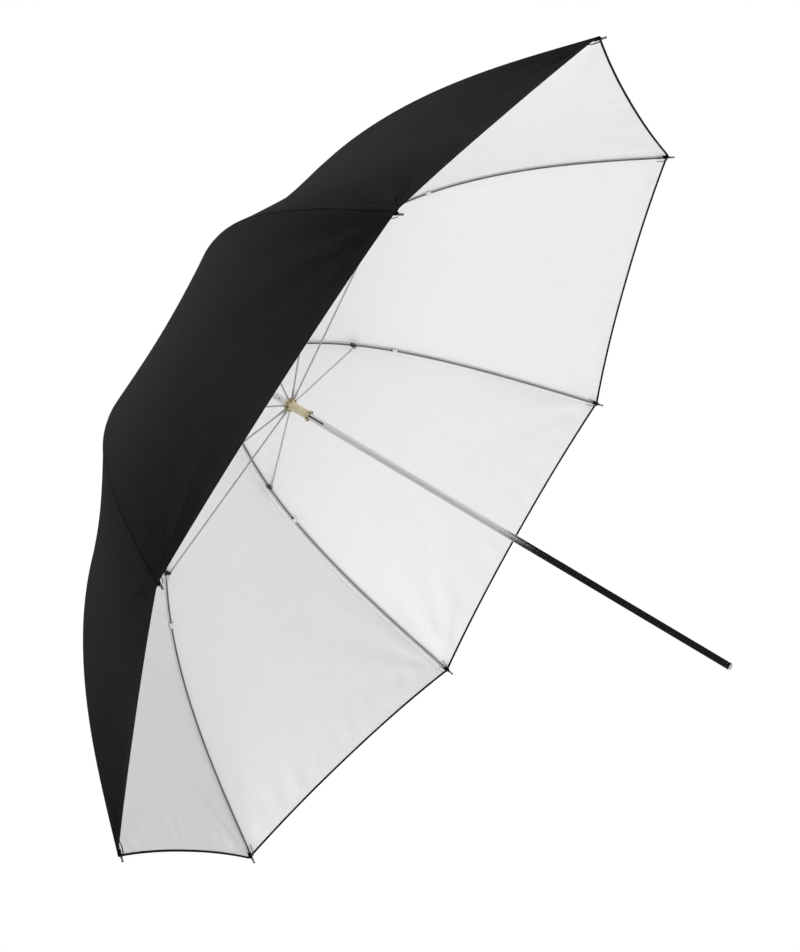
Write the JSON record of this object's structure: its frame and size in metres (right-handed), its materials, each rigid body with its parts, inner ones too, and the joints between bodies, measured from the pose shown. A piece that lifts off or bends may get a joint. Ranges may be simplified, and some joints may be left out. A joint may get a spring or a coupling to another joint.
{
  "type": "umbrella reflector",
  "caption": "Round photographic umbrella reflector: shallow black-and-white cloth bowl on bent ribs that folds by a runner sliding along a thin shaft.",
  "frame": {"origin": "on the shaft's axis, in the middle of the stretch that a lamp head's umbrella holder grips", "axes": "+Z along the shaft towards the canopy; +X towards the first rib"},
  "size_m": [1.0638, 1.0638, 0.715],
  "materials": {
    "polished_steel": "polished bright steel tube",
    "champagne_metal": "satin champagne metal",
    "dark_metal": "blackened steel",
    "grey_steel": "drawn grey steel",
    "black_plastic": "satin black plastic",
    "spring_steel": "tempered spring steel",
    "canopy_cloth": "tight woven synthetic cloth, black outside and white inside"
  },
  "bodies": {
    "shaft": {"shaft_tube": "polished_steel", "shaft_end_plug": "polished_steel", "notch_hub": "champagne_metal", "notch_wire": "grey_steel", "top_cap": "black_plastic", "runner_stop_pin": "grey_steel", "catch_root_pin": "dark_metal"},
    "runner": {"runner_sleeve": "champagne_metal", "runner_wire": "grey_steel"},
    "catch_spring": {"catch_spring": "spring_steel"},
    "rib_1": {"rib_1": "grey_steel", "rib_tip_1": "grey_steel", "rib_clip_1": "dark_metal"},
    "stretcher_1": {"stretcher_1": "grey_steel"},
    "canopy_left_1": {"canopy_left_1": "canopy_cloth"},
    "canopy_right_1": {"canopy_right_1": "canopy_cloth"},
    "rib_2": {"rib_2": "grey_steel", "rib_tip_2": "grey_steel", "rib_clip_2": "dark_metal"},
    "stretcher_2": {"stretcher_2": "grey_steel"},
    "canopy_left_2": {"canopy_left_2": "canopy_cloth"},
    "canopy_right_2": {"canopy_right_2": "canopy_cloth"},
    "rib_3": {"rib_3": "grey_steel", "rib_tip_3": "grey_steel", "rib_clip_3": "dark_metal"},
    "stretcher_3": {"stretcher_3": "grey_steel"},
    "canopy_left_3": {"canopy_left_3": "canopy_cloth"},
    "canopy_right_3": {"canopy_right_3": "canopy_cloth"},
    "rib_4": {"rib_4": "grey_steel", "rib_tip_4": "grey_steel", "rib_clip_4": "dark_metal"},
    "stretcher_4": {"stretcher_4": "grey_steel"},
    "canopy_left_4": {"canopy_left_4": "canopy_cloth"},
    "canopy_right_4": {"canopy_right_4": "canopy_cloth"},
    "rib_5": {"rib_5": "grey_steel", "rib_tip_5": "grey_steel", "rib_clip_5": "dark_metal"},
    "stretcher_5": {"stretcher_5": "grey_steel"},
    "canopy_left_5": {"canopy_left_5": "canopy_cloth"},
    "canopy_right_5": {"canopy_right_5": "canopy_cloth"},
    "rib_6": {"rib_6": "grey_steel", "rib_tip_6": "grey_steel", "rib_clip_6": "dark_metal"},
    "stretcher_6": {"stretcher_6": "grey_steel"},
    "canopy_left_6": {"canopy_left_6": "canopy_cloth"},
    "canopy_right_6": {"canopy_right_6": "canopy_cloth"},
    "rib_7": {"rib_7": "grey_steel", "rib_tip_7": "grey_steel", "rib_clip_7": "dark_metal"},
    "stretcher_7": {"stretcher_7": "grey_steel"},
    "canopy_left_7": {"canopy_left_7": "canopy_cloth"},
    "canopy_right_7": {"canopy_right_7": "canopy_cloth"},
    "rib_8": {"rib_8": "grey_steel", "rib_tip_8": "grey_steel", "rib_clip_8": "dark_metal"},
    "stretcher_8": {"stretcher_8": "grey_steel"},
    "canopy_left_8": {"canopy_left_8": "canopy_cloth"},
    "canopy_right_8": {"canopy_right_8": "canopy_cloth"}
  },
  "joints": [
    {"name": "fold", "type": "hinge", "parent": "shaft", "child": "rib_1", "pos_m": [0.0085, 0, 0.564], "axis": [0, 1, 0], "range_deg": [0, 59]},
    {"name": "stretcher_1_hinge", "type": "hinge", "parent": "rib_1", "child": "stretcher_1", "pos_m": [0.26389, 0, 0.50775], "axis": [0, -1, 0], "range_deg": [0, 116.87]},
    {"name": "canopy_left_1_fold", "type": "hinge", "parent": "rib_1", "child": "canopy_left_1", "pos_m": [0.0125, 0, 0.5802], "axis": [0.8957, 0, -0.4446], "range_deg": [0, 79.65], "deforming": ["canopy_left_1"]},
    {"name": "canopy_right_1_fold", "type": "hinge", "parent": "rib_1", "child": "canopy_right_1", "pos_m": [0.0125, 0, 0.5802], "axis": [-0.8957, 0, 0.4446], "range_deg": [0, 79.65], "deforming": ["canopy_right_1"]},
    {"name": "rib_2_hinge", "type": "hinge", "parent": "shaft", "child": "rib_2", "pos_m": [0.00601, 0.00601, 0.564], "axis": [-0.7071, 0.7071, 0], "range_deg": [0, 59]},
    {"name": "stretcher_2_hinge", "type": "hinge", "parent": "rib_2", "child": "stretcher_2", "pos_m": [0.1866, 0.1866, 0.50775], "axis": [0.7071, -0.7071, 0], "range_deg": [0, 116.87]},
    {"name": "canopy_left_2_fold", "type": "hinge", "parent": "rib_2", "child": "canopy_left_2", "pos_m": [0.00884, 0.00884, 0.5802], "axis": [0.6334, 0.6334, -0.4446], "range_deg": [0, 79.65], "deforming": ["canopy_left_2"]},
    {"name": "canopy_right_2_fold", "type": "hinge", "parent": "rib_2", "child": "canopy_right_2", "pos_m": [0.00884, 0.00884, 0.5802], "axis": [-0.6334, -0.6334, 0.4446], "range_deg": [0, 79.65], "deforming": ["canopy_right_2"]},
    {"name": "rib_3_hinge", "type": "hinge", "parent": "shaft", "child": "rib_3", "pos_m": [0, 0.0085, 0.564], "axis": [-1, 0, 0], "range_deg": [0, 59]},
    {"name": "stretcher_3_hinge", "type": "hinge", "parent": "rib_3", "child": "stretcher_3", "pos_m": [0, 0.26389, 0.50775], "axis": [1, 0, 0], "range_deg": [0, 116.87]},
    {"name": "canopy_left_3_fold", "type": "hinge", "parent": "rib_3", "child": "canopy_left_3", "pos_m": [0, 0.0125, 0.5802], "axis": [0, 0.8957, -0.4446], "range_deg": [0, 79.65], "deforming": ["canopy_left_3"]},
    {"name": "canopy_right_3_fold", "type": "hinge", "parent": "rib_3", "child": "canopy_right_3", "pos_m": [0, 0.0125, 0.5802], "axis": [0, -0.8957, 0.4446], "range_deg": [0, 79.65], "deforming": ["canopy_right_3"]},
    {"name": "rib_4_hinge", "type": "hinge", "parent": "shaft", "child": "rib_4", "pos_m": [-0.00601, 0.00601, 0.564], "axis": [-0.7071, -0.7071, 0], "range_deg": [0, 59]},
    {"name": "stretcher_4_hinge", "type": "hinge", "parent": "rib_4", "child": "stretcher_4", "pos_m": [-0.1866, 0.1866, 0.50775], "axis": [0.7071, 0.7071, 0], "range_deg": [0, 116.87]},
    {"name": "canopy_left_4_fold", "type": "hinge", "parent": "rib_4", "child": "canopy_left_4", "pos_m": [-0.00884, 0.00884, 0.5802], "axis": [-0.6334, 0.6334, -0.4446], "range_deg": [0, 79.65], "deforming": ["canopy_left_4"]},
    {"name": "canopy_right_4_fold", "type": "hinge", "parent": "rib_4", "child": "canopy_right_4", "pos_m": [-0.00884, 0.00884, 0.5802], "axis": [0.6334, -0.6334, 0.4446], "range_deg": [0, 79.65], "deforming": ["canopy_right_4"]},
    {"name": "rib_5_hinge", "type": "hinge", "parent": "shaft", "child": "rib_5", "pos_m": [-0.0085, 0, 0.564], "axis": [0, -1, 0], "range_deg": [0, 59]},
    {"name": "stretcher_5_hinge", "type": "hinge", "parent": "rib_5", "child": "stretcher_5", "pos_m": [-0.26389, 0, 0.50775], "axis": [0, 1, 0], "range_deg": [0, 116.87]},
    {"name": "canopy_left_5_fold", "type": "hinge", "parent": "rib_5", "child": "canopy_left_5", "pos_m": [-0.0125, 0, 0.5802], "axis": [-0.8957, 0, -0.4446], "range_deg": [0, 79.65], "deforming": ["canopy_left_5"]},
    {"name": "canopy_right_5_fold", "type": "hinge", "parent": "rib_5", "child": "canopy_right_5", "pos_m": [-0.0125, 0, 0.5802], "axis": [0.8957, 0, 0.4446], "range_deg": [0, 79.65], "deforming": ["canopy_right_5"]},
    {"name": "rib_6_hinge", "type": "hinge", "parent": "shaft", "child": "rib_6", "pos_m": [-0.00601, -0.00601, 0.564], "axis": [0.7071, -0.7071, 0], "range_deg": [0, 59]},
    {"name": "stretcher_6_hinge", "type": "hinge", "parent": "rib_6", "child": "stretcher_6", "pos_m": [-0.1866, -0.1866, 0.50775], "axis": [-0.7071, 0.7071, 0], "range_deg": [0, 116.87]},
    {"name": "canopy_left_6_fold", "type": "hinge", "parent": "rib_6", "child": "canopy_left_6", "pos_m": [-0.00884, -0.00884, 0.5802], "axis": [-0.6334, -0.6334, -0.4446], "range_deg": [0, 79.65], "deforming": ["canopy_left_6"]},
    {"name": "canopy_right_6_fold", "type": "hinge", "parent": "rib_6", "child": "canopy_right_6", "pos_m": [-0.00884, -0.00884, 0.5802], "axis": [0.6334, 0.6334, 0.4446], "range_deg": [0, 79.65], "deforming": ["canopy_right_6"]},
    {"name": "rib_7_hinge", "type": "hinge", "parent": "shaft", "child": "rib_7", "pos_m": [0, -0.0085, 0.564], "axis": [1, 0, 0], "range_deg": [0, 59]},
    {"name": "stretcher_7_hinge", "type": "hinge", "parent": "rib_7", "child": "stretcher_7", "pos_m": [0, -0.26389, 0.50775], "axis": [-1, 0, 0], "range_deg": [0, 116.87]},
    {"name": "canopy_left_7_fold", "type": "hinge", "parent": "rib_7", "child": "canopy_left_7", "pos_m": [0, -0.0125, 0.5802], "axis": [0, -0.8957, -0.4446], "range_deg": [0, 79.65], "deforming": ["canopy_left_7"]},
    {"name": "canopy_right_7_fold", "type": "hinge", "parent": "rib_7", "child": "canopy_right_7", "pos_m": [0, -0.0125, 0.5802], "axis": [0, 0.8957, 0.4446], "range_deg": [0, 79.65], "deforming": ["canopy_right_7"]},
    {"name": "rib_8_hinge", "type": "hinge", "parent": "shaft", "child": "rib_8", "pos_m": [0.00601, -0.00601, 0.564], "axis": [0.7071, 0.7071, 0], "range_deg": [0, 59]},
    {"name": "stretcher_8_hinge", "type": "hinge", "parent": "rib_8", "child": "stretcher_8", "pos_m": [0.1866, -0.1866, 0.50775], "axis": [-0.7071, -0.7071, 0], "range_deg": [0, 116.87]},
    {"name": "canopy_left_8_fold", "type": "hinge", "parent": "rib_8", "child": "canopy_left_8", "pos_m": [0.00884, -0.00884, 0.5802], "axis": [0.6334, -0.6334, -0.4446], "range_deg": [0, 79.65], "deforming": ["canopy_left_8"]},
    {"name": "canopy_right_8_fold", "type": "hinge", "parent": "rib_8", "child": "canopy_right_8", "pos_m": [0.00884, -0.00884, 0.5802], "axis": [-0.6334, 0.6334, 0.4446], "range_deg": [0, 79.65], "deforming": ["canopy_right_8"]},
    {"name": "runner_slide", "type": "slide", "parent": "shaft", "child": "runner", "axis": [0, 0, -1], "range_m": [0, 0.3802], "deforming": ["catch_spring"]},
    {"name": "catch_press", "type": "hinge", "parent": "shaft", "child": "catch_spring", "pos_m": [0, 0, 0.3465], "axis": [0.3827, -0.9239, 0], "range_deg": [0, 2.4], "stiffness_Nm_per_rad": 1}
  ],
  "couplings": [
    {"joint": "stretcher_1_hinge", "follows": "fold", "ratio": 1.98},
    {"joint": "canopy_left_1_fold", "follows": "fold", "ratio": 1.3492},
    {"joint": "canopy_right_1_fold", "follows": "fold", "ratio": 1.3492},
    {"joint": "rib_2_hinge", "follows": "fold", "ratio": 1},
    {"joint": "stretcher_2_hinge", "follows": "fold", "ratio": 1.98},
    {"joint": "canopy_left_2_fold", "follows": "fold", "ratio": 1.3492},
    {"joint": "canopy_right_2_fold", "follows": "fold", "ratio": 1.3492},
    {"joint": "rib_3_hinge", "follows": "fold", "ratio": 1},
    {"joint": "stretcher_3_hinge", "follows": "fold", "ratio": 1.98},
    {"joint": "canopy_left_3_fold", "follows": "fold", "ratio": 1.3492},
    {"joint": "canopy_right_3_fold", "follows": "fold", "ratio": 1.3492},
    {"joint": "rib_4_hinge", "follows": "fold", "ratio": 1},
    {"joint": "stretcher_4_hinge", "follows": "fold", "ratio": 1.98},
    {"joint": "canopy_left_4_fold", "follows": "fold", "ratio": 1.3492},
    {"joint": "canopy_right_4_fold", "follows": "fold", "ratio": 1.3492},
    {"joint": "rib_5_hinge", "follows": "fold", "ratio": 1},
    {"joint": "stretcher_5_hinge", "follows": "fold", "ratio": 1.98},
    {"joint": "canopy_left_5_fold", "follows": "fold", "ratio": 1.3492},
    {"joint": "canopy_right_5_fold", "follows": "fold", "ratio": 1.3492},
    {"joint": "rib_6_hinge", "follows": "fold", "ratio": 1},
    {"joint": "stretcher_6_hinge", "follows": "fold", "ratio": 1.98},
    {"joint": "canopy_left_6_fold", "follows": "fold", "ratio": 1.3492},
    {"joint": "canopy_right_6_fold", "follows": "fold", "ratio": 1.3492},
    {"joint": "rib_7_hinge", "follows": "fold", "ratio": 1},
    {"joint": "stretcher_7_hinge", "follows": "fold", "ratio": 1.98},
    {"joint": "canopy_left_7_fold", "follows": "fold", "ratio": 1.3492},
    {"joint": "canopy_right_7_fold", "follows": "fold", "ratio": 1.3492},
    {"joint": "rib_8_hinge", "follows": "fold", "ratio": 1},
    {"joint": "stretcher_8_hinge", "follows": "fold", "ratio": 1.98},
    {"joint": "canopy_left_8_fold", "follows": "fold", "ratio": 1.3492},
    {"joint": "canopy_right_8_fold", "follows": "fold", "ratio": 1.3492},
    {"joint": "runner_slide", "follows": "fold", "m_per_rad": 0.36873}
  ]
}
